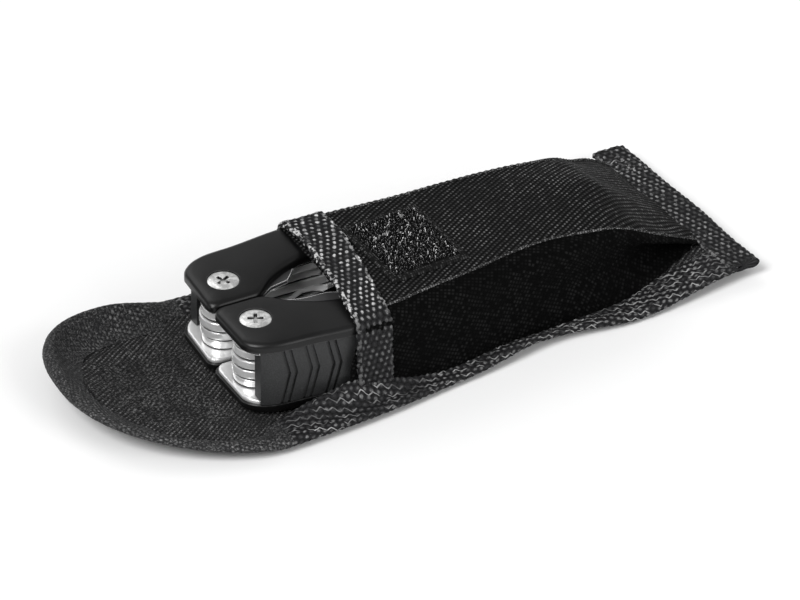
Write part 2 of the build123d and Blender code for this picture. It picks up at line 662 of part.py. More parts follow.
def origin_shift():
    """The move that brings the middle of the whole object's footprint to the origin."""
    boxes = [piece.bounding_box() for piece in parts.values()]
    middle_x = (min(b.min.X for b in boxes) + max(b.max.X for b in boxes)) / 2
    middle_y = (min(b.min.Y for b in boxes) + max(b.max.Y for b in boxes)) / 2
    return Pos(-middle_x, -middle_y, 0)


make_pouch()
make_tool()
shift = origin_shift()
print("moved by", shift.position)
os.makedirs("parts", exist_ok=True)
for name, piece in parts.items():
    export_step(shift * piece, f"parts/{name}.step")
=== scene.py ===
import json
import math

import bpy
import numpy as np
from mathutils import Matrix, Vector


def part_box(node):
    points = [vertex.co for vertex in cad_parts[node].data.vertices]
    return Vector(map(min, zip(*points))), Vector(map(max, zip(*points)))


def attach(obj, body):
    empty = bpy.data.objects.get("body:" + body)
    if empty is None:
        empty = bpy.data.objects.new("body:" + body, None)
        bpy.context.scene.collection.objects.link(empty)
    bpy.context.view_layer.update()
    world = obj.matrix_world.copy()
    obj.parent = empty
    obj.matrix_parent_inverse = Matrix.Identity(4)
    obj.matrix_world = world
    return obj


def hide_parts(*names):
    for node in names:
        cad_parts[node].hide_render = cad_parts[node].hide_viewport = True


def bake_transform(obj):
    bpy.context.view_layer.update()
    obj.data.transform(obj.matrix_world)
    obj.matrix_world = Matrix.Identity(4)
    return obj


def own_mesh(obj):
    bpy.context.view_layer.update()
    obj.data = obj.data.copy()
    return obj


# A folding pocket tool lying in its open black belt pouch. The cloth pieces are laid out in the tool's own
# coordinates, in millimetres: x = 0 and y = 0 midway between the two implement screws, +X towards the
# bottom of the pouch, z = 0 on the floor. ORIGIN takes them to the CAD frame.

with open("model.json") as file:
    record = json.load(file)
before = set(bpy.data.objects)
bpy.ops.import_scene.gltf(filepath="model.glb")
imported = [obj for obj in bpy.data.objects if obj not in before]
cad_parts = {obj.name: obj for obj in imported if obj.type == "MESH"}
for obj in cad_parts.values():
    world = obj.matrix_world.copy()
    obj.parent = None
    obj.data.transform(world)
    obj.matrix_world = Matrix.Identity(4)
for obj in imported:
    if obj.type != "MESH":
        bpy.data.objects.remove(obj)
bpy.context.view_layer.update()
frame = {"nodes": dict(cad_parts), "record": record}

screw_low, screw_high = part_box("implement_screw_a")
ORIGIN = np.array([(screw_low.x + screw_high.x) / 2, (screw_low.y + screw_high.y) / 2 - 0.0105, 0.0])
SEED = 7

# ---------------------------------------------------------------- camera
PICTURE = (800, 600)
AZIMUTH, ELEVATION = math.radians(-26.5), math.radians(35.5)
DISTANCE, SENSOR = 5.0, 36
SCALE = 3500.0  # picture points in a metre, at the anchor
ANCHOR = Vector(ORIGIN) + Vector((0, -0.0105, 0.0278))  # top of the near screw
ANCHOR_AT = (255.5, 318.0)  # where it lies in the picture


def make_camera():
    """A long lens at the photograph's angle, aimed so that the near screw falls where it should."""
    back = Vector((
        math.sin(AZIMUTH) * math.cos(ELEVATION),
        -math.cos(AZIMUTH) * math.cos(ELEVATION),
        math.sin(ELEVATION),
    ))
    right = Vector((math.cos(AZIMUTH), math.sin(AZIMUTH), 0))
    up = back.cross(right)
    aim = ANCHOR + right * ((PICTURE[0] / 2 - ANCHOR_AT[0]) / SCALE) + up * ((ANCHOR_AT[1] - PICTURE[1] / 2) / SCALE)
    data = bpy.data.cameras.new("camera")
    data.sensor_width = SENSOR
    data.lens = SENSOR * SCALE * DISTANCE / PICTURE[0]
    data.clip_start, data.clip_end = 0.1, 40
    camera = bpy.data.objects.new("camera", data)
    camera.rotation_mode = "QUATERNION"
    camera.rotation_quaternion = back.to_track_quat("Z", "Y")
    camera.location = aim + back * DISTANCE
    bpy.context.scene.collection.objects.link(camera)
    bpy.context.scene.camera = camera


# ---------------------------------------------------------------- light and floor
def soft_light(name, direction, strength, spread):
    """A wide, far light that falls evenly over the whole floor."""
    data = bpy.data.lights.new(name, "SUN")
    data.energy, data.angle = strength, math.radians(spread)
    light = bpy.data.objects.new(name, data)
    light.rotation_mode = "QUATERNION"
    light.rotation_quaternion = Vector(direction).to_track_quat("Z", "Y")
    bpy.context.scene.collection.objects.link(light)


def make_studio():
    """Pale floor, white surroundings and three soft lights."""
    bpy.context.scene.view_settings.view_transform = "Standard"
    world = bpy.data.worlds.new("studio")
    world.use_nodes = True
    world.node_tree.nodes["Background"].inputs["Color"].default_value = (1, 1, 1, 1)
    seen = world.node_tree.nodes.new("ShaderNodeLightPath").outputs["Is Camera Ray"]
    strength = world.node_tree.nodes.new("ShaderNodeMapRange")
    strength.inputs["To Min"].default_value = 0.36  # as light on the object
    strength.inputs["To Max"].default_value = 1.0  # as the camera sees it
    world.node_tree.links.new(seen, strength.inputs["Value"])
    world.node_tree.links.new(strength.outputs[0], world.node_tree.nodes["Background"].inputs["Strength"])
    bpy.context.scene.world = world
    soft_light("key", (-0.62, -0.26, 0.75), 2.3, 30)
    soft_light("back", (-0.10, 0.85, 0.75), 0.5, 40)
    soft_light("fill", (0.45, -0.80, 0.45), 1.1, 40)
    reach, level = 6.0, -0.0003  # just under the cloth
    mesh = bpy.data.meshes.new("floor")
    corners = [(x * reach, y * reach, level) for x, y in ((-1, -1), (1, -1), (1, 1), (-1, 1))]
    mesh.from_pydata(corners, [], [(0, 1, 2, 3)])
    floor = bpy.data.objects.new("floor", mesh)
    bpy.context.scene.collection.objects.link(floor)
    floor.data.materials.append(Paint("floor", grey(0.93), 0.9, 0.2).material)


# ---------------------------------------------------------------- materials
def grey(level):
    """A neutral colour."""
    return level, level, level


class Paint:
    """A node material being built round one Principled shader."""

    def __init__(self, name, colour, roughness, specular=0.5, metallic=0.0):
        self.material = bpy.data.materials.new(name)
        self.material.use_nodes = True
        self.tree = self.material.node_tree
        self.shader = self.tree.nodes["Principled BSDF"]
        self.shader.inputs["Base Color"].default_value = (*colour, 1)
        self.shader.inputs["Roughness"].default_value = roughness
        self.shader.inputs["Specular IOR Level"].default_value = specular
        self.shader.inputs["Metallic"].default_value = metallic

    def node(self, kind, output=0, **inputs):
        """Adds a node, sets or links its inputs, and gives back one of its outputs. An input is named, or numbered
        as in _2, and set_x is the node's own setting x."""
        made = self.tree.nodes.new(kind)
        for key, value in inputs.items():
            if key.startswith("set_"):
                setattr(made, key[4:], value)
        for key, value in inputs.items():
            if not key.startswith("set_"):
                self.put(made.inputs[int(key[1:]) if key[0] == "_" else key.replace("_", " ")], value)
        return made.outputs[output]

    def put(self, socket, value):
        """Links a socket, or sets its value."""
        if isinstance(value, bpy.types.NodeSocket):
            self.tree.links.new(value, socket)
        else:
            socket.default_value = value

    def math(self, operation, a, b=0.0):
        """Arithmetic on sockets and numbers."""
        return self.node("ShaderNodeMath", set_operation=operation, _0=a, _1=b)

    def plus(self, a, b):
        return self.math("ADD", a, b)

    def minus(self, a, b):
        return self.math("SUBTRACT", a, b)

    def most(self, a, b):
        return self.math("MAXIMUM", a, b)

    def times(self, first, *others):
        """Product of sockets and numbers."""
        for other in others:
            first = self.math("MULTIPLY", first, other)
        return first

    def step(self, value, low, high, to_low=0.0, to_high=1.0):
        """Smooth rise from to_low to to_high as value goes from low to high."""
        return self.node("ShaderNodeMapRange", set_interpolation_type="SMOOTHSTEP", _0=value, _1=low, _2=high,
                         _3=to_low, _4=to_high)

    def ridge(self, offset, outer, inner):
        """1 within this inner distance of a cell's middle, falling to 0 at the outer one."""
        return self.step(self.math("ABSOLUTE", offset), outer, inner)

    def noise(self, scale, detail=2.0, roughness=0.5):
        """Uneven values round 0.5, over the piece's own coordinates in metres."""
        place = self.tree.nodes.new("ShaderNodeTexCoord").outputs["Object"]
        return self.node("ShaderNodeTexNoise", Vector=place, Scale=scale, Detail=detail, Roughness=roughness)

    def wander(self, scale, reach):
        """Slow unevenness either side of 0."""
        return self.times(self.minus(self.noise(scale), 0.5), reach)

    def uv(self):
        """The piece's own flat coordinates, in millimetres."""
        split = self.tree.nodes.new("ShaderNodeSeparateXYZ")
        place = self.tree.nodes.new("ShaderNodeTexCoord").outputs["UV"]
        self.tree.links.new(place, split.inputs[0])
        return split.outputs[0], split.outputs[1]

    def slant(self, degrees, pitch):
        """How far across slanting ribs a point lies, counted in ribs."""
        u, v = self.uv()
        angle = math.radians(degrees)
        return self.minus(self.times(u, math.sin(angle) / pitch), self.times(v, math.cos(angle) / pitch))

    def cell(self, value):
        """Position within a cell, from -0.5 to 0.5, and the cell's number."""
        number = self.math("FLOOR", value)
        return self.minus(self.minus(value, number), 0.5), number

    def chance(self, a, b):
        """One random number for each cell of a lattice."""
        place = self.node("ShaderNodeCombineXYZ", _0=a, _1=b)
        return self.node("ShaderNodeTexWhiteNoise", set_noise_dimensions="2D", Vector=place)

    def edges(self, radius, low, high):
        """Rises from 0 to 1 at sharp edges, within a radius in metres."""
        rounded = self.node("ShaderNodeBevel", Radius=radius)
        true = self.tree.nodes.new("ShaderNodeNewGeometry").outputs["Normal"]
        agree = self.node("ShaderNodeVectorMath", 1, set_operation="DOT_PRODUCT", _0=rounded, _1=true)
        return self.step(agree, low, high)

    def mix(self, factor, *colours):
        """A colour between two, each of them a socket or red, green and blue."""
        dark, light = (c if isinstance(c, bpy.types.NodeSocket) else (*c, 1) for c in colours)
        return self.node("ShaderNodeMix", 2, set_data_type="RGBA", _0=factor, _6=dark, _7=light)

    def colour(self, factor, dark, light):
        """Sets the shader's colour to a mix."""
        self.put(self.shader.inputs["Base Color"], self.mix(factor, dark, light))

    def rough(self, factor, low, high):
        """Lets the shader's roughness follow a factor."""
        self.put(self.shader.inputs["Roughness"], self.node("ShaderNodeMapRange", _0=factor, _3=low, _4=high))

    def bump(self, height, distance, strength, normal=None):
        """Fine relief this many metres deep, on top of a given normal if there is one."""
        given = {} if normal is None else {"Normal": normal}
        made = self.node("ShaderNodeBump", Height=height, Distance=distance, Strength=strength, **given)
        self.put(self.shader.inputs["Normal"], made)


TAPE_PITCH, TAPE_SKEW = 1.95, 0.36  # the webbing's lattice: millimetres between crowns, and their slant


def tape_material(name, light, amount, zigzag=0.0, edges=(), fuzz=0.0, top=None, gloss=0.1):
    """Coarse black webbing: painted glints, pale crowns on a slanting lattice and thin pale zigzags, painted shade in
    the hollows between crowns, and loose fibres. amount is how patchy the glints are, edges are bands (from, to,
    share) of twisted yarn across its width, and top is the stretch of its length that keeps its full painted glints,
    facing up to the light; elsewhere they are painted dimmer, as shade."""
    paint = Paint(name, (0.012, 0.012, 0.013), 0.65, gloss)
    u, v = paint.uv()
    a = paint.math("DIVIDE", u, TAPE_PITCH)
    b = paint.plus(paint.math("DIVIDE", v, TAPE_PITCH), paint.times(a, TAPE_SKEW))
    drift = paint.wander(300, 0.55)
    fa, na = paint.cell(paint.plus(a, drift))
    fb, nb = paint.cell(paint.plus(b, paint.wander(410, 0.55)))
    # distance from the cell's middle, in a slanting oval
    long = paint.plus(paint.times(fa, 0.80), paint.times(fb, 0.60))
    short = paint.minus(paint.times(fb, 0.80), paint.times(fa, 0.60))
    away = paint.math("SQRT", paint.plus(paint.times(long, long, 5.5), paint.times(short, short, 15.0)))
    crown = paint.step(away, 1.0, 0.55)
    luck = paint.step(paint.chance(na, nb), 0.0, 0.8, 0.1, 1.0)
    patch = paint.step(paint.noise(60, 3), 0.36, 0.62, 1.0 - amount, 1.0)
    grit = paint.step(paint.noise(1500), 0.30, 0.62, 0.35, 1.0)
    # painted glints: crowns that catch the light are painted pale
    pale = paint.times(crown, luck, patch, grit)
    # painted glints: thin pale zigzags along the twisted yarn
    if zigzag:
        wave = paint.math("ABSOLUTE", paint.cell(paint.times(a, 0.56))[0])
        line = paint.cell(paint.minus(paint.times(b, 0.8), paint.times(wave, 0.95)))[0]
        thin = paint.ridge(paint.plus(line, drift), 0.11, 0.03)
        broken = paint.step(paint.noise(260), 0.40, 0.56)
        dim = paint.times(pale, 1 - 0.45 * zigzag)
        pale = paint.most(dim, paint.times(thin, broken, zigzag, patch))
    if fuzz:
        loose = paint.step(paint.noise(1900, 3, 0.7), 0.50, 0.72)
        pale = paint.most(pale, paint.times(loose, fuzz))
    for low, high, share in edges:
        inside = paint.times(paint.step(v, low - 0.3, low), paint.step(v, high + 0.3, high))
        twist = paint.step(paint.noise(700), 0.46, 0.60)
        pale = paint.most(pale, paint.times(inside, twist, share))
    # painted light: along the top stretch the glints stay full, elsewhere they are painted dimmer, as shade
    if top:
        pale = paint.times(pale, paint.step(u, top[0] - 5, top[0] + 2, 0.16, 1.0),
                           paint.step(u, top[1] + 5, top[1] - 2, 0.16, 1.0))
    # painted shade in the hollows between crowns
    pit_shade = paint.step(away, 1.9, 1.1, 0.25, 1.0)
    paint.colour(pale, paint.mix(pit_shade, grey(0.003), (0.017, 0.017, 0.018)), grey(light))
    paint.bump(paint.plus(paint.times(paint.noise(2600), 0.6), paint.times(crown, 1.5)), 0.00016, 0.8)
    return paint.material


def rib_material():
    """Ballistic nylon: slanting ribs of plump yarn with painted shade in the grooves between them and small pale
    painted glints where the yarns cross.
    """
    paint = Paint("pouch_cloth", (0.01, 0.01, 0.011), 0.65, 0.04)
    fa, na = paint.cell(paint.plus(paint.slant(32, 1.44), paint.wander(260, 0.45)))
    fb, nb = paint.cell(paint.plus(paint.slant(122, 1.15), paint.times(na, 0.5)))
    rib, knot = paint.ridge(fa, 0.5, 0.08), paint.ridge(fb, 0.5, 0.1)
    glint = paint.times(paint.ridge(fa, 0.26, 0.08), paint.ridge(fb, 0.34, 0.12))
    luck = paint.step(paint.chance(na, nb), 0.25, 1.0, 0.15, 1.0)
    patch = paint.step(paint.noise(38), 0.35, 0.62, 0.45, 1.0)
    plump = paint.times(rib, paint.plus(paint.times(knot, 0.55), 0.45))
    # painted shade: the grooves between ribs are darker than the rib tops
    yarn_and_groove_shade = paint.mix(plump, grey(0.003), (0.017, 0.017, 0.0172))
    paint.colour(paint.times(glint, luck, patch), yarn_and_groove_shade, grey(0.19))
    height = paint.plus(rib, paint.times(knot, 0.45))
    paint.bump(paint.plus(height, paint.times(paint.noise(2500), 0.35)), 0.00028, 0.9)
    return paint.material


def weave_material(name, pitch, light, dark, plain_share, slanted=False):
    """Fine plain weave with faint glints, apart from the plain share of its crossings."""
    paint = Paint(name, grey(dark), 0.75, 0.02)
    u, v = paint.uv()
    if slanted:
        u, v = paint.plus(u, paint.times(v, 0.55)), paint.minus(v, paint.times(u, 0.55))
    fa, na = paint.cell(paint.math("DIVIDE", u, pitch))
    fb, nb = paint.cell(paint.math("DIVIDE", v, pitch))
    dome = paint.times(paint.ridge(fa, 0.5, 0.1), paint.ridge(fb, 0.5, 0.1))
    luck = paint.step(paint.chance(na, nb), plain_share, 1.0)
    patch = paint.step(paint.noise(60), 0.35, 0.65, 0.5, 1.0)
    paint.colour(paint.times(dome, luck, patch), grey(dark), grey(light))
    paint.bump(paint.plus(dome, paint.times(paint.noise(3000, 1), 0.4)), 0.00014, 0.8)
    return paint.material


def lining_material():
    """Napped lining: slanting weave that shows through in places, under a dull haze of loose fibres."""
    paint = Paint("lining", (0.012, 0.012, 0.013), 0.85, 0.12)
    fa, na = paint.cell(paint.slant(38, 1.3))
    fb, nb = paint.cell(paint.plus(paint.slant(128, 1.2), paint.times(na, 0.5)))
    rib = paint.ridge(fa, 0.5, 0.08)
    dash = paint.times(paint.ridge(fa, 0.24, 0.1), paint.ridge(fb, 0.42, 0.2))
    shows = paint.step(paint.noise(45), 0.30, 0.52, 0.45, 1.0)
    nap = paint.noise(1700, 3, 0.7)
    haze = paint.times(paint.step(nap, 0.50, 0.72), paint.step(paint.noise(120, 3), 0.35, 0.65, 0.3, 1.0))
    luck = paint.step(paint.chance(na, nb), 0.2, 1.0, 0.25, 1.0)
    pale = paint.most(paint.times(dash, luck, shows), haze)
    paint.colour(pale, (0.010, 0.010, 0.0103), grey(0.16))
    paint.bump(paint.plus(paint.times(rib, shows, 1.2), nap), 0.00025, 0.9)
    return paint.material


def pile_material():
    """Loop pile: dull curled fibres with pale flecks where they catch the light."""
    paint = Paint("loop_pile", (0.01, 0.01, 0.0105), 0.85, 0.12)
    rows = paint.ridge(paint.cell(paint.slant(38, 1.3))[0], 0.5, 0.12)
    curl = paint.noise(1300, 4, 0.75)
    fleck = paint.times(paint.step(curl, 0.46, 0.68), paint.step(paint.noise(150, 3), 0.34, 0.60, 0.45, 1.0),
                        paint.plus(paint.times(rows, 0.7), 0.3))
    paint.colour(fleck, (0.010, 0.010, 0.0103), grey(0.20))
    paint.bump(paint.plus(curl, paint.times(rows, 0.6)), 0.0004, 0.9)
    return paint.material


def plate_material():
    """Black anodised plate: fine blasted grain, and paler wear along its edges."""
    paint = Paint("black_anodised_plate", (0.004, 0.004, 0.0042), 0.34, 0.32)
    rubbed = paint.noise(60, 4)
    wear = paint.times(paint.edges(0.0005, 0.999, 0.93), paint.step(paint.noise(700, 3), 0.35, 0.7, 0.25, 1.0))
    base = paint.mix(paint.step(rubbed, 0.3, 0.75), (0.003, 0.003, 0.0031), (0.006, 0.006, 0.0062))
    paint.colour(wear, base, (0.06, 0.06, 0.061))
    paint.rough(rubbed, 0.28, 0.42)
    paint.bump(paint.noise(5200), 0.00001, 0.35)
    return paint.material


def shaded_liner_material():
    """Steel painted as if in shade, for the liners under the top plates: dark faces of painted shade, with a painted
    highlight along its edges.
    """
    paint = Paint("liner_steel", (0.09, 0.09, 0.092), 0.4, 0.5, 0.25)
    # painted shade over the faces, painted highlight along the edges
    paint.colour(paint.edges(0.0004, 0.998, 0.93), (0.05, 0.05, 0.051), grey(0.95))
    grain = paint.noise(1800, 3)
    paint.rough(grain, 0.3, 0.5)
    paint.bump(grain, 0.00002, 0.5)
    return paint.material


def grip_material():
    """Moulded charcoal nylon with a fine spark texture."""
    paint = Paint("moulded_grip", (0.03, 0.031, 0.032), 0.5, 0.45)
    grain = paint.noise(3600, 3, 0.7)
    paint.colour(paint.step(grain, 0.35, 0.7), (0.012, 0.0123, 0.0126), (0.034, 0.035, 0.036))
    paint.rough(paint.noise(150, 3), 0.42, 0.62)
    paint.bump(grain, 0.00005, 0.6)
    return paint.material


def steel_material(name, colour, rough, mottle=0.0, metallic=1.0, soft=0.0, gap=0.0013):
    """Bright steel with fine drawn streaks, a mottled film where handled and painted shade where other surfaces close
    it in, within a reach in metres, darkest in narrow gaps; soft is the radius its edges are rounded by in shading."""
    paint = Paint(name, colour, rough[0], 0.5, metallic)
    place = paint.tree.nodes.new("ShaderNodeTexCoord").outputs["Object"]
    drawn = paint.node("ShaderNodeMapping", Vector=place, Scale=(40, 900, 900))
    streaks = paint.node("ShaderNodeTexNoise", Vector=drawn, Scale=6.0, Detail=3.0)
    paint.rough(streaks, *rough)
    film = paint.step(paint.noise(520, 4, 0.65), 0.40, 0.66)
    face = paint.mix(film, tuple(c * (1 - mottle) for c in colour), colour)
    # painted shade: the colour is darkened towards grey(0.02) where other parts close the surface in
    open_air = paint.node("ShaderNodeAmbientOcclusion", 1, set_samples=8, Distance=gap)
    paint.colour(paint.step(open_air, 0.30, 0.72), grey(0.02), face)
    rounded = paint.node("ShaderNodeBevel", Radius=soft, set_samples=6) if soft else None
    paint.bump(paint.plus(streaks, paint.times(film, mottle)), 0.000012, 0.5, rounded)
    return paint.material


def hook_material(name, dark, light):
    """Glossy bent monofilament, unevenly bright."""
    paint = Paint(name, dark, 0.12, 0.9)
    paint.colour(paint.step(paint.noise(900), 0.35, 0.65), dark, light)
    paint.rough(paint.noise(1500), 0.08, 0.2)
    return paint.material


TAPES = {
    # the mouth tape keeps its full painted glints over the top of the mouth; its sides are painted dimmer, as shade
    "mouth_tape": dict(light=0.72, amount=0.35, top=(27, 88), edges=((0.9, 1.7, 0.35), (11.3, 12.3, 0.75))),
    "edge_tape": dict(light=0.42, amount=0.8, zigzag=1.0),
    "rim_tape": dict(light=0.19, amount=0.85, fuzz=0.8, gloss=0.22),
    "strip_tape": dict(light=0.36, amount=0.45, zigzag=0.15, edges=((0.8, 1.7, 0.4),)),
}
WEAVES = {
    "gusset_cloth": dict(pitch=1.35, light=0.014, dark=0.0022, plain_share=0.1, slanted=True),
    "hook_ground": dict(pitch=0.8, light=0.05, dark=0.004, plain_share=0.6),
    "hook_border": dict(pitch=0.75, light=0.10, dark=0.009, plain_share=0.2),
    "seam_thread": dict(pitch=0.8, light=0.42, dark=0.02, plain_share=0.15),
}
STEELS = {
    "polished_steel": dict(colour=grey(0.98), rough=(0.12, 0.28), mottle=0.06, metallic=0.55, soft=0.0008),
    "screw_steel": dict(colour=(1.0, 1.0, 0.99), rough=(0.14, 0.34), mottle=0.45, metallic=0.6, soft=0.0002,
                        gap=0.0018),
    "spring_steel": dict(colour=(0.35, 0.35, 0.37), rough=(0.25, 0.4)),
    # the jaws get a wide reach of painted shade, darkening them where they lie deep between the handles
    "jaw_steel": dict(colour=(0.42, 0.42, 0.43), rough=(0.3, 0.45), mottle=0.15, gap=0.02),
}


def make_materials():
    """One material for each of the record's slots that a CAD node shows, and those of the cloth pieces."""
    paint = {
        "black_anodised_plate": plate_material(),
        "moulded_grip": grip_material(),
        "liner_steel": shaded_liner_material(),
        "pouch_cloth": rib_material(),
        "lining": lining_material(),
        "hooks": hook_material("hooks", (0.012, 0.012, 0.0125), (0.035, 0.035, 0.036)),
        # a pale colour given to a share of the hooks as painted glints
        "glint_hooks": hook_material("glint_hooks", grey(0.16), grey(0.75)),
        "loop_pile": pile_material(),
    }
    for material, table in ((tape_material, TAPES), (weave_material, WEAVES), (steel_material, STEELS)):
        for name, settings in table.items():
            paint[name] = material(name, **settings)
    return paint


# ---------------------------------------------------------------- mesh helpers
def wobble(x, y, size, seed):
    """Slow uneven waves, from about -1 to 1, with features of about this size in millimetres."""
    random = np.random.default_rng(SEED + seed)
    total = np.zeros(np.broadcast(x, y).shape)
    for turn, phase, stretch in random.uniform((0, 0, 0.6), (math.pi, 6.3, 1.7), (6, 3)):
        total = total + np.sin((np.cos(turn) * x + np.sin(turn) * y) * 2 * math.pi / (size * stretch) + phase)
    return total / 3.2  # about as far as six waves together reach


def rise(value, low, high):
    """Smooth rise from 0 to 1 between low and high."""
    t = np.clip((value - low) / (high - low), 0, 1)
    return t * t * (3 - 2 * t)


def along(points):
    """Distance along a line of points."""
    steps = np.linalg.norm(np.diff(points, axis=0), axis=1)
    return np.concatenate([[0], np.cumsum(steps)])


def directions(line):
    """Unit direction of a line at each of its points."""
    tangent = np.gradient(line, axis=0)
    return tangent / np.linalg.norm(tangent, axis=1, keepdims=True)


def resample(line, count):
    """The same line with this many points, evenly spaced."""
    at = along(line)
    new = np.linspace(0, at[-1], count)
    return np.stack([np.interp(new, at, line[:, k]) for k in range(line.shape[1])], 1)


def spaced(points, step):
    """The same line with points evenly spaced, about step apart."""
    points = np.asarray(points, float)
    return resample(points, max(2, int(round(along(points)[-1] / step)) + 1))


def curve(points, step):
    """A smooth line through a few points, evenly spaced."""
    p = np.asarray(points, float)
    p = np.vstack([2 * p[0] - p[1], p, 2 * p[-1] - p[-2]])
    t = np.linspace(0, 1, 24, endpoint=False)[:, None]
    runs = []
    for a, b, c, d in zip(p, p[1:], p[2:], p[3:]):
        runs.append(0.5 * (2 * b + (c - a) * t + (2 * a - 5 * b + 4 * c - d) * t**2 + (3 * b - a - 3 * c + d) * t**3))
    return spaced(np.vstack([*runs, p[-2:-1]]), step)


def normals(grid):
    """Outward direction at each point of a grid."""
    n = np.cross(np.gradient(grid, axis=0), np.gradient(grid, axis=1))
    length = np.linalg.norm(n, axis=2, keepdims=True)
    return n / np.maximum(length, 1e-9)


def tape_height(u, v):
    """Relief of the webbing, on the same lattice as its material."""
    a = u / TAPE_PITCH
    b = v / TAPE_PITCH + TAPE_SKEW * a
    fa, fb = a - np.floor(a) - 0.5, b - np.floor(b) - 0.5
    crown = np.exp(-(fa**2 + 1.3 * fb**2) / 0.07)
    return crown + 0.45 * np.cos(2 * math.pi * (a - 0.5 * b)) * (1 - crown)


def woven(grid, u, v, amount, level, top_column):
    """A grid with the webbing's relief on it; one column that lies on its top side tells which way is out."""
    out = normals(grid)
    out *= np.sign(np.median(out[:, top_column, 2]))
    return grid + out * (amount * (tape_height(u, v) - level))[:, :, None]


def build(name, grids, material, node=None, body=None, uv_scale=1.0):
    """A mesh piece made of point grids with flat coordinates; each grid is (points, u, v) in millimetres. It stands
    for a CAD node, if one is given, and rides on a body, if it doesn't bend or move with several."""
    vertices, faces, uvs = [], [], []
    start = 0
    for points, u, v in grids:
        rows, columns = points.shape[:2]
        vertices.append(points.reshape(-1, 3))
        index = start + np.arange(rows * columns).reshape(rows, columns)
        quad = np.stack([index[:-1, :-1], index[1:, :-1], index[1:, 1:], index[:-1, 1:]], -1).reshape(-1, 4)
        faces.append(quad)
        uvs.append(np.stack([u, v], -1).reshape(-1, 2))
        start += rows * columns
    vertices = np.vstack(vertices) / 1000 + ORIGIN
    faces, uvs = np.vstack(faces), np.vstack(uvs)
    mesh = bpy.data.meshes.new(name)
    mesh.vertices.add(len(vertices))
    mesh.vertices.foreach_set("co", vertices.astype(np.float32).ravel())
    mesh.loops.add(faces.size)
    mesh.loops.foreach_set("vertex_index", faces.astype(np.int32).ravel())
    mesh.polygons.add(len(faces))
    mesh.polygons.foreach_set("loop_start", np.arange(0, faces.size, 4, dtype=np.int32))
    mesh.update(calc_edges=True)
    mesh.polygons.foreach_set("use_smooth", np.ones(len(faces), bool))
    layer = mesh.uv_layers.new(name="flat")
    layer.data.foreach_set("uv", (uvs[faces.ravel()] * uv_scale).astype(np.float32).ravel())
    mesh.materials.append(material)
    piece = bpy.data.objects.new(name, mesh)
    bpy.context.scene.collection.objects.link(piece)
    if body:
        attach(piece, body)
    if node:
        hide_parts(node)
    return piece


# ---------------------------------------------------------------- outline of the back and flap
FLAP_TIP, POUCH_END, STRIP_LENGTH = -55.0, 152.6, 10.0
SLANT = 0.122  # of the bottom edge
HALF_WIDTH, FLAP_START = 41.5, 2.0
FOLD_X, TIP_FOLD_X = -11.0, -40.5
SPLIT_NEAR, SPLIT_FAR = -2.0, -25.75  # where the flap's pieces meet
FLOOR_GAP = 0.02  # kept between tape and floor
TOP_POINTS = 60  # of the edge tape's section, over its top
RIM_UV_SCALE = 1.4  # the rim's webbing is finer


def centre_y(x):
    """How far the pouch's middle line lies off the tool's axis."""
    rear = np.clip((x - 40) / 109, 0, None)
    front = np.clip((FOLD_X - x) / (FOLD_X - FLAP_TIP), 0, None)
    return 11.0 * rear**2 + 7.4 * front**1.5


def half_width(x, inset=0.0):
    """Half the width of the back, straight part and rounded flap, this far in from its edge."""
    width = HALF_WIDTH - 7.0 * rise(x, -5, 75) - inset
    tip = FLAP_TIP + inset
    share = np.clip((FLAP_START - x) / (FLAP_START - tip), 0, 1)
    return width * (1 - share**2.6) ** (1 / 2.2)


def waist(x):
    """How far the near edge is drawn in, where the pouch narrows behind the tool's grips."""
    return 4.4 * np.exp(-(((x - 88) / 19) ** 2)) + 1.4 * np.exp(-(((x - 55) / 18) ** 2))


def end_lift(x):
    """How far the cloth stands off the floor towards its slanted end."""
    return 3.0 * rise(x, 112, 146)


def lift(x, y):
    """How far the slack cloth stands off the floor: towards the flap's tip, at the near waist and at the end."""
    rim = rise(np.abs(y - centre_y(x)) / np.maximum(half_width(x), 1), 0.70, 0.95)
    flap = 8.8 * (rim * np.clip((-6 - x) / 49, 0, 1) ** 0.9 + (1 - rim) * np.clip((-12 - x) / 43, 0, 1) ** 2.2)
    near = 3.2 * np.exp(-(((x - 86) / 20) ** 2)) * rise(-y, 21.5, 28)
    edge = 1.5 * rise(-y, 27, 38) * rise(x, -30, 0)
    far = 1.2 * np.exp(-(((x + 15) / 11) ** 2)) * rise(y, 24, 36)
    return flap + near + edge + far + end_lift(x)


def ramp(x, y):
    """How far the tape's inner edge climbs beside the tool; on the far side it starts behind the tool's corner."""
    near = np.interp(x, (-9, 6, 24, 40, 65, 90, 105), (0, 4.5, 7.6, 6.6, 3.2, 1.0, 0))
    return near * (1 - rise(y, -5, 5) * (1 - rise(x, 2, 20)))


def end_x(y, back=0.0):
    """Where a line this far in from the slanted bottom edge lies."""
    return POUCH_END - back - SLANT * (y - 13.5)


def outline():
    """Plan of the edge, from the near bottom corner round the flap to the far one."""
    angle = np.linspace(0, math.pi / 2, 160)
    flap = FLAP_START - (FLAP_START - FLAP_TIP) * np.sin(angle) ** (1 / 1.3)
    straight = np.linspace(150, FLAP_START, 200, endpoint=False)
    x = np.concatenate([straight, flap])
    far = np.stack([x, centre_y(x) + half_width(x)], 1)
    drawn = waist(x) + 2.0 * half_width(x) / HALF_WIDTH
    near = np.stack([x, centre_y(x) - half_width(x) + drawn], 1)
    line = spaced(np.vstack([near, far[-2::-1]]), 0.3)
    return line[line[:, 0] < end_x(line[:, 1], STRIP_LENGTH - 5.0)]


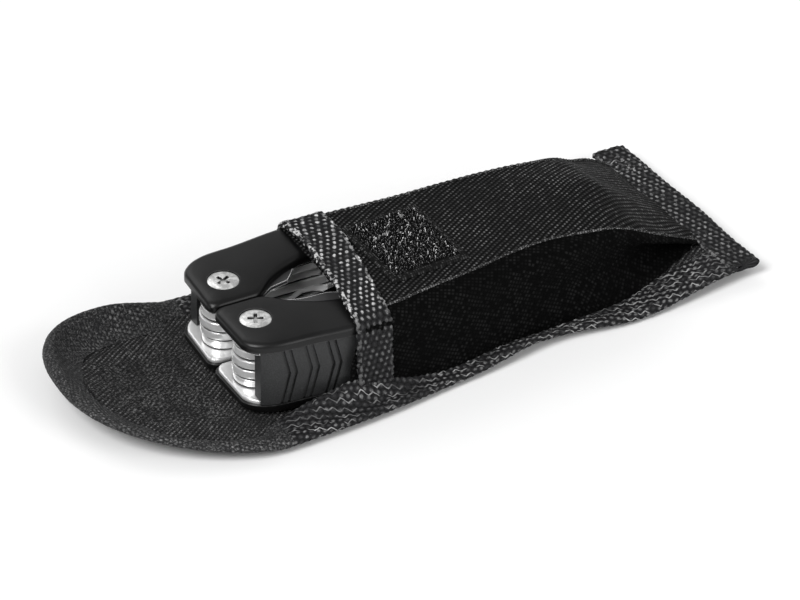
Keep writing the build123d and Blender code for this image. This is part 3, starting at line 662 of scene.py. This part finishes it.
def lining_height(x, y):
    """Height of the lining: a shallow dish in the flap, with soft creases, and flat under the tool."""
    dish = rise(-x, 4, 26)
    inset_share = np.abs(y - centre_y(x)) / np.maximum(half_width(x, 9), 1)
    crease = np.exp(-((inset_share - 0.93) / 0.07) ** 2) * (y > centre_y(x))
    creases = 0.35 * wobble(x, y, 26, 1) + 0.14 * wobble(x, y, 9, 2)
    return 2.45 - dish * 0.75 + dish * creases - 0.8 * crease * rise(-x, -6, 12) + lift(x, y)


def tape_profile(flap):
    """Section of the edge tape as (inset, height): over the top from the inner edge, round and back below. flap is
    0 along the back and 1 round the flap."""
    width = 11.6
    peak, shoulder = 3.15, 3.6 - 1.2 * (1 - flap)
    s = np.linspace(0, 1, TOP_POINTS)
    inset = width * (1 - s)
    outer = np.sqrt(np.clip(1 - ((shoulder - inset) / shoulder) ** 2, 0, 1))
    inner_flap = 0.5 + 0.5 * np.cos(math.pi * np.clip((inset - shoulder) / (width - shoulder), 0, 1))
    inner_flat = 1 - 0.35 * rise(inset, width - 1.0, width)
    inner = flap * inner_flap + (1 - flap) * inner_flat
    low = 1.45 * flap + 1.2 * (1 - flap)
    top = np.where(inset < shoulder, 1.0 + (peak - 1.0) * outer, low + (peak - low) * inner)
    below_inset = np.linspace(0, width, 34)
    below = 1.0 - 0.9 * np.sqrt(np.clip(1 - (1 - np.clip(below_inset / 1.4, 0, 1)) ** 2, 0, 1))
    return np.vstack([np.stack([inset, top], 1), np.stack([below_inset, below], 1)[1:]])


def edge_tape():
    """The tape round the back and flap as one long grid: points, u, v and the plan line it follows."""
    line = outline()
    tangent = directions(line)
    inward = np.stack([tangent[:, 1], -tangent[:, 0]], 1)
    rows, us, vs = [], [], []
    for (x, y), side, u in zip(line, inward, along(line)):
        flap = float(rise(-x, -12, 12))
        section = tape_profile(flap) + np.array([0.5 * math.sin(u / 9) * flap, 0])
        climb = float(ramp(x, y))
        inset = section[:, 0] * (1 - 0.018 * climb)  # a tape that climbs reaches less far in
        px, py = x + side[0] * inset, y + side[1] * inset
        rows.append(np.column_stack([px, py, section[:, 1] + lift(px, py) + climb * rise(section[:, 0], 2.2, 11.6)]))
        v = along(section)
        us.append(np.full(len(v), u))
        vs.append(v)
    grid, u, v = np.array(rows), np.array(us), np.array(vs)
    flap = rise(-line[:, 0], -12, 12)[:, None]
    grid = woven(grid, u, v, 0.26 - 0.2 * flap, 0.5, 30)
    soft = flap * (0.22 * wobble(line[:, :1], line[:, 1:], 22, 5) - 0.1)
    puffed = rise(-line[:, :1], 8, 26) * (0.4 + 2.0 * rise(line[:, 1:] - centre_y(line[:, :1]), -8, 22))
    column = np.arange(grid.shape[1])
    shoulder = np.exp(-(((column - 44) / 11.0) ** 2))
    grid[:, :, 2] += (soft + puffed * shoulder) * (column < TOP_POINTS - 2)
    grid[:, :, 2] = np.maximum(grid[:, :, 2], FLOOR_GAP)
    return grid, u, v, line


def make_edge(paint):
    """Edge tape, cut into lengths where the flap folds."""
    grid, u, v, line = edge_tape()
    x, index = line[:, 0], np.arange(len(line))
    tip = index[x < SPLIT_FAR]
    near_end = index[(x >= SPLIT_NEAR) & (index < tip[0])][-1]
    far_start = index[(x >= SPLIT_NEAR) & (index > tip[-1])][0]

    def cut(first, last):
        return grid[first:last + 1], u[first:last + 1], v[first:last + 1]

    def tape(name, node, cuts, material, body=None, uv_scale=1.0):
        return build(name, cuts, paint[material], node, body, uv_scale)

    near = tape("edge_tape_near", "near_edge_binding", [cut(0, near_end)], "edge_tape", "pouch")
    far = tape("edge_tape_far", "far_edge_binding", [cut(far_start, index[-1])], "edge_tape", "pouch")
    riser = tape("rim_riser", "flap_riser_binding", [cut(near_end, tip[0]), cut(tip[-1], far_start)], "rim_tape",
                 uv_scale=RIM_UV_SCALE)
    end = tape("rim_tip", "flap_tip_binding", [cut(tip[0], tip[-1])], "rim_tape", uv_scale=RIM_UV_SCALE)
    for piece in (near, far):
        flatten(piece)
    bend(riser)
    bend(end)


def bend(piece):
    """Bakes the flap piece's placement into its mesh."""
    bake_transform(piece)


def flatten(piece):
    """Gives the piece its own copy of its mesh."""
    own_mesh(piece)


def lining_grid(x_from, x_to, rows):
    """A stretch of lining from side to side."""
    x = np.linspace(x_from, x_to, rows)[:, None] * np.ones((1, 121))
    across = np.linspace(-1, 1, 121)[None, :]
    y = centre_y(x) + across * np.maximum(half_width(x, 9.5), 0.05)
    z = np.maximum(lining_height(x, y), 0.3)
    return np.stack([x, y, z], -1), x, y


def make_lining(paint):
    """Lining of the back and flap in three lengths."""
    back = lining_grid(147, SPLIT_NEAR, 250)
    back[0][:, :, 0] = np.minimum(back[0][:, :, 0], end_x(back[0][:, :, 1], STRIP_LENGTH - 1))
    lengths = [
        ("lining_back", "back_panel", back, (0.060, 0.138), "pouch"),
        ("lining_riser", "flap_riser_panel", lining_grid(SPLIT_NEAR, SPLIT_FAR, 90), (0.062, 0.0238), None),
        ("lining_tip", "flap_tip_panel", lining_grid(SPLIT_FAR, FLAP_TIP + 9.6, 80), (0.055, 0.0187), None),
    ]
    made = []
    for name, node, grid, flat, body in lengths:
        piece = build(name, [grid], paint["lining"], node, body)
        made.append(piece)
    flatten(made[0])
    bend(made[1])
    bend(made[2])


# ---------------------------------------------------------------- front panel and gussets
# Lines along the shell at twelve stations from the mouth to the bottom, and how far the front panel arches there.
NEAR_SEAM = [(25.9, -22.9, 28.8), (38.6, -22.6, 29.0), (52, -20.4, 29.1), (66.4, -18.3, 29.1), (80, -15.6, 29.1),
             (92, -14.6, 29.0), (104, -15.6, 28.4), (113, -15.2, 26.6), (121, -13.6, 22.2), (129.5, -10.6, 15.6),
             (138.5, -7.4, 8.6), (147.6, -4.6, 1.6)]
FAR_SEAM = [(25.9, 25.6, 28.3), (38.6, 25.6, 28.5), (50, 24.9, 28.6), (62, 24.3, 28.6), (75, 24.2, 28.6),
            (88, 24.4, 28.2), (99, 24.6, 27.4), (108, 24.8, 26.2), (115, 26.6, 23.8), (122, 31.0, 18.0),
            (131, 37.6, 10.6), (140.5, 42.0, 1.6)]
CROWN = [0.9, 0.9, 0.9, 0.9, 0.9, 1.1, 1.6, 2.6, 3.8, 3.8, 2.4, 0.1]
NEAR_MIDDLE = [(21.5, -28.7, 16), (38.6, -28.8, 16), (52, -28.0, 16), (66.4, -25.9, 15.5), (80, -22.8, 15.2),
               (92, -20.8, 15), (104, -18.8, 14.5), (113, -15.6, 13.4), (121, -10.5, 11.4), (129.5, -5.5, 8.2),
               (138.5, -2.5, 5.2), (147.2, -4.2, 1.5)]
NEAR_FOOT = [(21.5, -28.9, 3.25), (38.6, -28.9, 3.25), (52, -28.2, 3.2), (66.4, -26.0, 3.2), (80, -23.4, 3.2),
             (92, -21.8, 3.2), (104, -20.6, 3.15), (113, -19.2, 3.15), (121, -17.0, 3.15), (129.5, -13.6, 3.1),
             (138.5, -9.4, 3.1), (147.0, -5.2, 1.5)]
STATIONS, STATION_REACH = 360, 400  # points along a line, and how finely it is first split
GUSSET_POINTS = 70  # from seam to foot


def lines(points):
    """A station line, split into the same number of points as every other."""
    p = np.asarray(points, float)
    t = np.linspace(0, 1, len(p))
    fine = curve(np.column_stack([t * STATION_REACH, p]), 0.5)
    at = np.linspace(0, STATION_REACH, STATIONS)
    return np.stack([np.interp(at, fine[:, 0], fine[:, k]) for k in (1, 2, 3)], 1)


def mirrored(line, seam_near, seam_far):
    """The far side's copy of a near gusset line, half as far outside its seam."""
    out = seam_far.copy()
    out[:, 1] += (seam_near[:, 1] - line[:, 1]) * 0.5
    out[:, 2] = line[:, 2]
    out[:, 0] += (line[:, 0] - seam_near[:, 0]) * 0.5
    return out


def raised(grid):
    """Lift of the shell's rear where its end stands off the floor."""
    return end_lift(grid[..., 0]) * np.clip(1 - grid[..., 2] / 29, 0, 1)


def make_front(near, far, paint):
    """Front panel, arched over the tool and rippled where it hangs loose behind it."""
    crown = np.interp(np.linspace(0, len(CROWN) - 1, STATIONS), np.arange(len(CROWN)), CROWN)
    s = np.linspace(0, 1, 150)[None, :, None]
    panel = near[:, None] * (1 - s) + far[:, None] * s
    arch = 1 - np.abs(2 * s[..., 0] - 1) ** 2.2
    panel[:, :, 2] += crown[:, None] * arch
    x, y = panel[:, :, 0], panel[:, :, 1]
    loose = rise(x, 98, 122)
    ripple = 0.10 * wobble(x, y, 19, 11) + loose * 0.45 * wobble(x, y, 17, 12)
    panel[:, :, 2] += ripple * np.clip(arch * 3, 0, 1)
    panel[:, :, 2] += raised(panel)
    front = build("front_cloth", [(panel, x, y)], paint["pouch_cloth"], "front_panel", "pouch")
    flatten(front)


def make_gusset(side, top, middle, foot, sign, paint):
    """A side of the shell from its seam down to the edge tape: over the tool's hip, and slack behind it."""
    tight = 1 - rise(top[:, 0], 96, 112)
    hip = top.copy()
    near_hip = np.interp(top[:, 0], (38, 66, 96), (4.6, 5.8, 5.2)) if sign < 0 else 1.5
    hip[:, 1] += sign * (tight * near_hip + (1 - tight) * 1.6)
    hip[:, 2] = top[:, 2] - tight * 0.9 - (1 - tight) * 0.4
    elbow = hip.copy()
    elbow[:, 1] += sign * tight * 1.6
    elbow[:, 2] = hip[:, 2] * (0.92 * tight + 0.86 * (1 - tight))
    grid = np.array([resample(curve(row, 0.4), GUSSET_POINTS) for row in zip(top, hip, elbow, middle, foot)])
    grid[:, :, 2] += raised(grid)
    x = grid[:, :, 0]
    belly = np.sin(math.pi * np.linspace(0, 1, GUSSET_POINTS)[None, :]) * rise(x, 30, 45)
    grid[:, :, 1] += sign * belly * (0.22 * wobble(x, grid[:, :, 2], 21, 21 + sign))
    v = np.cumsum(np.linalg.norm(np.diff(grid, axis=1, prepend=grid[:, :1]), axis=2), axis=1)
    piece = build(f"gusset_{side}", [(grid, x, v)], paint["gusset_cloth"], f"{side}_gusset", "pouch")
    flatten(piece)


def make_shell(paint):
    """Front panel and both gussets, with the seams between them."""
    near, far = lines(NEAR_SEAM), lines(FAR_SEAM)
    middle, foot = lines(NEAR_MIDDLE), lines(NEAR_FOOT)
    make_front(near, far, paint)
    make_gusset("near", near, middle, foot, -1, paint)
    make_seam("seam_near", near, -1, paint)
    make_gusset("far", far, mirrored(middle, near, far), mirrored(foot, near, far), 1, paint)
    make_seam("seam_far", far, 1, paint)


def tube(line, radius, sides=8):
    """Grid of a round cord along a line of points."""
    tangent = directions(line)
    across = np.cross(tangent, (0, 0, 1))
    across /= np.linalg.norm(across, axis=1, keepdims=True)
    up = np.cross(across, tangent)
    angle = np.linspace(0, 2 * math.pi, sides + 1)
    radius = np.broadcast_to(radius, (len(line),))[:, None, None]
    ring = across[:, None] * np.cos(angle)[None, :, None] + up[:, None] * np.sin(angle)[None, :, None]
    grid = line[:, None] + ring * radius
    return grid, np.broadcast_to(along(line)[:, None], grid.shape[:2]), np.broadcast_to(angle[None], grid.shape[:2])


def make_seam(name, top, sign, paint):
    """Folded edge of the front panel along a seam, puckered by its stitches."""
    line = resample(top + np.array([0, sign * 0.15, 0.05]), 900)
    line[:, 2] += raised(line)
    stitch = 2.1
    puckered = 0.42 + 0.1 * np.sin(2 * math.pi * along(line) / stitch)
    piece = build(name, [tube(line, puckered)], paint["seam_thread"], body="pouch")
    flatten(piece)


# ---------------------------------------------------------------- mouth tape, hook patch, strip and loop
MOUTH_X = 25.7  # front of the mouth tape


def mouth_section():
    """Path of the mouth tape over the shell, from the near foot to the far foot, as (y, z)."""
    near = [(-29.0, 5.0), (-28.9, 9), (-28.8, 16), (-28.6, 22), (-28.3, 25.2), (-26.9, 27.9), (-24.3, 28.9),
            (-20, 29.5), (-10, 29.9), (0, 30.0)]
    return curve(near + [(-y, z) for y, z in reversed(near[:-1])], 0.3)


def make_mouth(paint):
    """Webbing folded over the mouth. It leans forward on the near side."""
    path = mouth_section()
    tangent = directions(path)
    out = np.stack([-tangent[:, 1], tangent[:, 0]], 1)
    profile = curve([(37.5, 0.12), (37.35, 0.8), (36.8, 1.1), (35, 1.05), (31.5, 1.0), (28.3, 1.1), (27.1, 1.35),
                     (26.1, 1.15), (25.7, 0.5), (26.1, -0.05), (27.6, -0.2)], 0.3)
    at = along(path)
    lean = np.interp(at, (0, 20, 30, 36, 46, 62, 80, 112), (-2.6, -2.6, -1.7, -0.8, 0.1, 1.2, 0.3, 0.0))
    lean = np.convolve(np.pad(lean, 12, "edge"), np.ones(25) / 25, "valid") + 0.12 * np.sin(at / 3.1)
    wide = 1 + np.interp(at, (40, 78), (-0.02, 0.16))[:, None]
    x = MOUTH_X + (profile[None, :, 0] - MOUTH_X) * wide + lean[:, None]
    offset = profile[None, :, 1]
    y = path[:, None, 0] + out[:, None, 0] * offset
    z = path[:, None, 1] + out[:, None, 1] * offset
    u, v = np.broadcast_arrays(at[:, None], along(profile)[None])
    grid = woven(np.stack([x, y, z], -1), u, v, 0.30, 0.4, 20)
    piece = build("mouth_tape", [(grid, u, v)], paint["mouth_tape"], "mouth_binding", "pouch")
    flatten(piece)


PATCH_MIDDLE, PATCH_SIZE, PATCH_TURN = (53.2, 1.2), (25.6, 31.0), math.radians(4.5)
# the share of hooks painted pale stands for painted glints
GLINT_HOOK_SHARE, HOOK_PITCH = 0.16, (0.78, 0.95)  # share of pale ones, and how far apart hooks stand


def turned(a, b, turn, middle):
    """Plan coordinates of (a, b), turned round a middle."""
    return (middle[0] + a * math.cos(turn) - b * math.sin(turn),
            middle[1] + a * math.sin(turn) + b * math.cos(turn))


def on_panel(x, y):
    """Height of the front panel near the mouth."""
    half = np.interp(x, (38, 66), (22.6, 19.4))
    middle = np.interp(x, (38, 66), (0, 1.1))
    return 29.02 + 0.9 * (1 - np.clip(np.abs((y - middle) / half), 0, 1) ** 2.2)


def patch_piece(name, length, width, height, paint, node=None):
    """A rectangle laid on the front panel with this height and rounded edges, turned as the patch is."""
    step = 0.4
    a = np.linspace(-length / 2, length / 2, int(length / step) + 1)[:, None]
    b = np.linspace(-width / 2, width / 2, int(width / step) + 1)[None, :]
    a, b = np.broadcast_arrays(a, b)
    x, y = turned(a, b, PATCH_TURN, PATCH_MIDDLE)
    edge = np.minimum(np.minimum(a + length / 2, length / 2 - a), np.minimum(b + width / 2, width / 2 - b))
    z = on_panel(x, y) + 0.12 + height * np.sqrt(np.clip(edge / 0.5, 0, 1))
    hook_piece(name, [(np.stack([x, y, z], -1), a, b)], paint, node)


def hook_piece(name, grids, paint, node=None):
    """A part of the hook fastener."""
    flatten(build(name, grids, paint[name], node, "pouch"))


def make_patch(paint):
    """Hook fastener: a woven tape with smooth borders and a field of bent hooks, a share of them painted pale as
    glints.
    """
    length, width = PATCH_SIZE
    patch_piece("hook_border", length, width, 0.7, paint, "hook_patch")
    patch_piece("hook_ground", length - 3.4, width - 3.6, 0.95, paint)
    random = np.random.default_rng(SEED)
    dark, pale = [], []
    for a in np.arange(-length / 2 + 2.2, length / 2 - 2.1, HOOK_PITCH[0]):
        for b in np.arange(-width / 2 + 2.3, width / 2 - 2.2, HOOK_PITCH[1]):
            da, db = random.uniform(-0.3, 0.3, 2)
            turn, lean, tall = random.uniform(0, 2 * math.pi), random.uniform(0.25, 0.75), random.uniform(0.55, 1.0)
            x, y = turned(a + da, b + db, PATCH_TURN, PATCH_MIDDLE)
            foot = np.array([x, y, on_panel(x, y) + 1.0])
            t = np.linspace(0, 1, 6)[:, None]
            bow = np.hstack([np.cos(turn) * lean * t, np.sin(turn) * lean * t, tall * np.sin(math.pi * 0.78 * t)])
            # a share of hooks goes to the pale list, painted as glints
            (pale if random.uniform() < GLINT_HOOK_SHARE else dark).append(tube(foot + bow, 0.115, 4))
    hook_piece("hooks", dark, paint)
    hook_piece("glint_hooks", pale, paint)


def make_strip(paint):
    """Webbing folded over the slanted bottom edge."""
    y = np.arange(-21.3, 47.8, 0.3)[:, None]
    profile = curve([(10.6, 2.2), (10.5, 3.3), (9.8, 3.75), (7.5, 3.7), (4.5, 3.6), (2.0, 3.5), (0.7, 3.1),
                     (0.05, 2.2), (0.1, 1.2), (0.8, 0.5), (2.5, 0.25), (6, 0.2), (10.4, 0.2)], 0.3)
    x = end_x(y) - profile[None, :, 0] * 1.01 + 0.25 * np.sin(y / 5.3)
    z = profile[None, :, 1] + lift(x, 0) * (1 - 0.25 * rise(y, 20, 45))
    u, v = np.broadcast_arrays(y, along(profile)[None])
    grid = woven(np.stack([x, u, z], -1), u, v, 0.26, 0.5, 12)
    grid[:, :, 2] = np.maximum(grid[:, :, 2], FLOOR_GAP)
    closed = [(grid, u, v)]
    for end in (0, -1):
        rim = grid[end]
        centre = np.broadcast_to(rim.mean(0), rim.shape)
        closed.append((np.stack([rim, centre]), np.stack([u[end], u[end]]), np.stack([v[end], v[end]])))
    piece = build("bottom_tape", closed, paint["strip_tape"], "bottom_binding", "pouch")
    flatten(piece)


def make_belt_loop(paint):
    """Webbing loop lying flat under the back."""
    low, high = (np.array(corner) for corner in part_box("belt_loop"))
    centre = ((low + high) / 2 - ORIGIN) * 1000
    a, b = np.broadcast_arrays(np.arange(-33, 33.01, 0.4)[:, None], np.arange(-18.9, 18.91, 0.4)[None, :])
    x, y = turned(a, b, math.radians(4), centre)
    grids = []
    for z, way in ((0.25, -1), (1.0, 1)):
        grids.append((np.stack([x, y, z + way * 0.12 * tape_height(a, b)], -1), a, b))
    build("loop_strap", grids, paint["strip_tape"], "belt_loop", "pouch")


def make_loop_pile(paint):
    """Loop fastener on the flap's inside: a low patch of curled pile."""
    x = np.arange(-38.6, -12.4, 0.35)[:, None] * np.ones((1, 98))
    y = centre_y(x) + np.linspace(-16.8, 16.8, 98)[None, :]
    edge = np.minimum(np.minimum(x + 38.8, -12.2 - x), 16.9 - np.abs(y - centre_y(x)))
    z = lining_height(x, y) + 0.25 * np.clip(edge / 3.0, -0.1, 1)
    z = z + 0.05 * wobble(x, y, 1.6, 31)
    piece = build("loop_pile", [(np.stack([x, y, z], -1), x, y)], paint["loop_pile"], "loop_patch")
    bend(piece)  # all of it lies beyond the fold


# ---------------------------------------------------------------- tool
def dress_tool(paint):
    """Gives each CAD node its slot's material, with smooth shading over its curved faces. The liners under the top
    plates get painted shade instead: a dark copy of the steel with a painted highlight along its edges."""
    top_half = 0.015  # metres above the floor
    for part in frame["record"]["subparts"]:
        node = frame["nodes"][part["node"]]
        if node.hide_render:
            continue
        slot = part["material_slot"]
        # painted shade: liners lying under the top plates get the dark liner material, a shaded copy of the steel
        if "liner" in part["node"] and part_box(part["node"])[0].z > top_half:
            slot = "liner_steel"
        node.data.materials.clear()
        node.data.materials.append(paint[slot])
        for polygon in node.data.polygons:
            polygon.use_smooth = True
        if "custom_normal" in node.data.attributes:
            node.data.attributes.remove(node.data.attributes["custom_normal"])
        weld = node.modifiers.new("weld", "WELD")
        weld.merge_threshold = 0.000002
        split = node.modifiers.new("crease", "EDGE_SPLIT")
        split.split_angle = math.radians(33)


make_camera()
make_studio()
paint = make_materials()
make_edge(paint)
make_lining(paint)
make_shell(paint)
make_mouth(paint)
make_patch(paint)
make_strip(paint)
make_belt_loop(paint)
make_loop_pile(paint)
dress_tool(paint)
